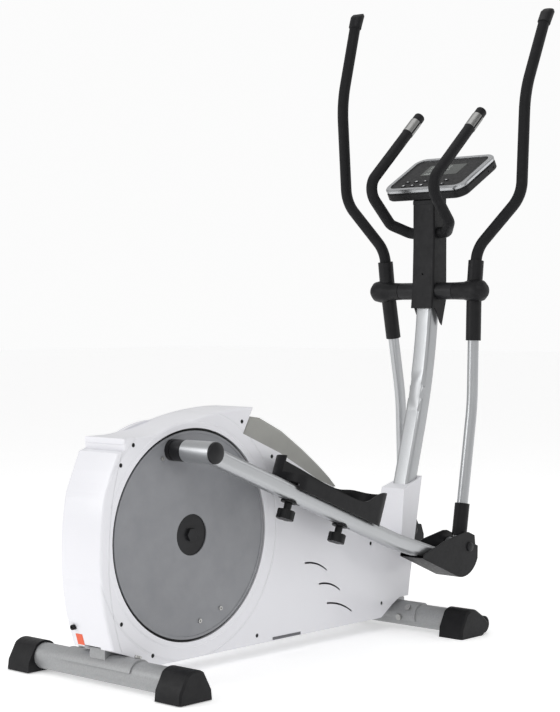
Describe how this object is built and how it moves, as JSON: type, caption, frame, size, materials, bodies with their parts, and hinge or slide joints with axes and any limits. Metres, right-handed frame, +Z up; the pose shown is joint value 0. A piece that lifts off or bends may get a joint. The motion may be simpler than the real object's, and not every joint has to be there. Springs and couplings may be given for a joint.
{
  "type": "elliptical trainer",
  "caption": "Rear crank elliptical trainer with swinging handlebars, footplates, a console and fixed handlebars on a mast.",
  "frame": {"origin": "on the floor, below the middle of the machine's bounding box", "axes": "+X forward from the crank housing to the console, +Y to the user's left, +Z up"},
  "size_m": [1.4449, 0.5708, 1.6648],
  "materials": {
    "shell_white": "glossy moulded plastic",
    "cover_grey": "satin moulded plastic",
    "disc_grey": "satin moulded plastic",
    "tube_silver": "silver powder coat",
    "frame_grey": "grey powder coat",
    "plastic_black": "fine grained black plastic",
    "foam_black": "foam sleeve",
    "tread_black": "ribbed",
    "steel": "turned",
    "paint_black": "satin black enamel",
    "iron": "painted casting",
    "bezel_silver": "silver lacquer",
    "display": "liquid crystal window",
    "key_black": "moulded key"
  },
  "bodies": {
    "base": {"base_frame": "frame_grey", "rear_stabilizer": "frame_grey", "front_stabilizer": "frame_grey", "saddle_plates": "frame_grey", "rear_cap_left": "plastic_black", "rear_cap_right": "plastic_black", "front_cap_left": "plastic_black", "front_cap_right": "plastic_black", "housing_left": "shell_white", "housing_right": "shell_white", "top_cover": "cover_grey", "base_screws": "steel", "power_socket": "plastic_black", "mast": "tube_silver", "mast_shroud": "plastic_black", "swing_axle": "paint_black", "console_shell": "plastic_black", "console_bezel": "bezel_silver", "console_display": "display", "fixed_handlebar": "foam_black", "pulse_plates": "steel"},
    "crank": {"crank_axle": "steel", "crank_pulley": "plastic_black", "disc_left": "disc_grey", "disc_right": "disc_grey", "crank_arms": "paint_black", "disc_screws": "steel"},
    "flywheel": {"flywheel": "iron"},
    "swing_right": {"swing_tube_right": "tube_silver", "swing_hub_right": "plastic_black", "handlebar_right": "foam_black", "swing_sleeve_right": "plastic_black"},
    "pedal_right": {"pedal_arm_right": "tube_silver", "fork_cover_right": "plastic_black", "arm_fittings_right": "paint_black"},
    "footplate_right": {"footplate_right": "plastic_black"},
    "knob_rear_right": {"knob_rear_right": "plastic_black"},
    "knob_front_right": {"knob_front_right": "plastic_black"},
    "roller_right": {"roller_right": "tread_black"},
    "leveller_right": {"leveller_right": "plastic_black"},
    "swing_left": {"swing_tube_left": "tube_silver", "swing_hub_left": "plastic_black", "handlebar_left": "foam_black", "swing_sleeve_left": "plastic_black"},
    "pedal_left": {"pedal_arm_left": "tube_silver", "fork_cover_left": "plastic_black", "arm_fittings_left": "paint_black"},
    "footplate_left": {"footplate_left": "plastic_black"},
    "knob_rear_left": {"knob_rear_left": "plastic_black"},
    "knob_front_left": {"knob_front_left": "plastic_black"},
    "roller_left": {"roller_left": "tread_black"},
    "leveller_left": {"leveller_left": "plastic_black"},
    "button_1": {"button_1": "key_black"},
    "button_2": {"button_2": "key_black"},
    "button_3": {"button_3": "key_black"},
    "button_4": {"button_4": "key_black"},
    "button_5": {"button_5": "key_black"},
    "button_6": {"button_6": "key_black"},
    "button_7": {"button_7": "key_black"},
    "button_8": {"button_8": "key_black"}
  },
  "joints": [
    {"name": "crank_spin", "type": "hinge", "parent": "base", "child": "crank", "pos_m": [-0.4484, 0, 0.317], "axis": [0, 1, 0], "continuous": true},
    {"name": "flywheel_spin", "type": "hinge", "parent": "base", "child": "flywheel", "pos_m": [-0.0984, 0, 0.228], "axis": [0, 1, 0], "continuous": true},
    {"name": "swing_right", "type": "hinge", "parent": "base", "child": "swing_right", "pos_m": [0.5156, -0.146, 0.879], "axis": [0, 1, 0], "range_deg": [-22, 8.5]},
    {"name": "pedal_pivot_right", "type": "hinge", "parent": "swing_right", "child": "pedal_right", "pos_m": [0.44277, -0.155, 0.21166], "axis": [0, 1, 0], "range_deg": [-8.5, 22]},
    {"name": "footplate_slide_right", "type": "slide", "parent": "pedal_right", "child": "footplate_right", "axis": [0.9322, 0, -0.362], "range_m": [-0.03, 0.03]},
    {"name": "knob_rear_right_turn", "type": "hinge", "parent": "footplate_right", "child": "knob_rear_right", "pos_m": [-0.24095, -0.16616, 0.35508], "axis": [0.362, 0, 0.9322], "continuous": true},
    {"name": "knob_front_right_turn", "type": "hinge", "parent": "footplate_right", "child": "knob_front_right", "pos_m": [-0.05638, -0.16368, 0.2834], "axis": [0.362, 0, 0.9322], "continuous": true},
    {"name": "roller_right_spin", "type": "hinge", "parent": "base", "child": "roller_right", "pos_m": [0.3976, -0.258, 0.0245], "axis": [0, 1, 0], "continuous": true},
    {"name": "leveller_right_turn", "type": "hinge", "parent": "base", "child": "leveller_right", "pos_m": [-0.6494, -0.252, 0.002], "axis": [0, 0, 1], "continuous": true},
    {"name": "swing_left", "type": "hinge", "parent": "base", "child": "swing_left", "pos_m": [0.5156, 0.146, 0.879], "axis": [0, 1, 0], "range_deg": [-8.5, 22]},
    {"name": "pedal_pivot_left", "type": "hinge", "parent": "swing_left", "child": "pedal_left", "pos_m": [0.60621, 0.155, 0.21384], "axis": [0, 1, 0], "range_deg": [-22, 8.5]},
    {"name": "footplate_slide_left", "type": "slide", "parent": "pedal_left", "child": "footplate_left", "axis": [0.9996, 0, 0.029], "range_m": [-0.03, 0.03]},
    {"name": "knob_rear_left_turn", "type": "hinge", "parent": "footplate_left", "child": "knob_rear_left", "pos_m": [-0.07946, 0.16616, 0.08009], "axis": [-0.029, 0, 0.9996], "continuous": true},
    {"name": "knob_front_left_turn", "type": "hinge", "parent": "footplate_left", "child": "knob_front_left", "pos_m": [0.11846, 0.16368, 0.08583], "axis": [-0.029, 0, 0.9996], "continuous": true},
    {"name": "roller_left_spin", "type": "hinge", "parent": "base", "child": "roller_left", "pos_m": [0.3976, 0.258, 0.0245], "axis": [0, 1, 0], "continuous": true},
    {"name": "leveller_left_turn", "type": "hinge", "parent": "base", "child": "leveller_left", "pos_m": [-0.6494, 0.252, 0.002], "axis": [0, 0, 1], "continuous": true},
    {"name": "button_1_press", "type": "slide", "parent": "base", "child": "button_1", "axis": [-0.507, 0, 0.862], "range_m": [-0.001, 0], "stiffness_N_per_m": 300, "springref_m": 0.0005},
    {"name": "button_2_press", "type": "slide", "parent": "base", "child": "button_2", "axis": [-0.507, 0, 0.862], "range_m": [-0.001, 0], "stiffness_N_per_m": 300, "springref_m": 0.0005},
    {"name": "button_3_press", "type": "slide", "parent": "base", "child": "button_3", "axis": [-0.507, 0, 0.862], "range_m": [-0.001, 0], "stiffness_N_per_m": 300, "springref_m": 0.0005},
    {"name": "button_4_press", "type": "slide", "parent": "base", "child": "button_4", "axis": [-0.507, 0, 0.862], "range_m": [-0.001, 0], "stiffness_N_per_m": 300, "springref_m": 0.0005},
    {"name": "button_5_press", "type": "slide", "parent": "base", "child": "button_5", "axis": [-0.507, 0, 0.862], "range_m": [-0.001, 0], "stiffness_N_per_m": 300, "springref_m": 0.0005},
    {"name": "button_6_press", "type": "slide", "parent": "base", "child": "button_6", "axis": [-0.507, 0, 0.862], "range_m": [-0.001, 0], "stiffness_N_per_m": 300, "springref_m": 0.0005},
    {"name": "button_7_press", "type": "slide", "parent": "base", "child": "button_7", "axis": [-0.507, 0, 0.862], "range_m": [-0.001, 0], "stiffness_N_per_m": 300, "springref_m": 0.0005},
    {"name": "button_8_press", "type": "slide", "parent": "base", "child": "button_8", "axis": [-0.507, 0, 0.862], "range_m": [-0.001, 0], "stiffness_N_per_m": 300, "springref_m": 0.0005}
  ],
  "couplings": [
    {"joint": "flywheel_spin", "follows": "crank_spin", "ratio": 8.3333},
    {"joint": "swing_left", "follows": "swing_right", "ratio": -1},
    {"joint": "pedal_pivot_right", "follows": "swing_right", "ratio": -1},
    {"joint": "pedal_pivot_left", "follows": "swing_right", "ratio": 1}
  ]
}
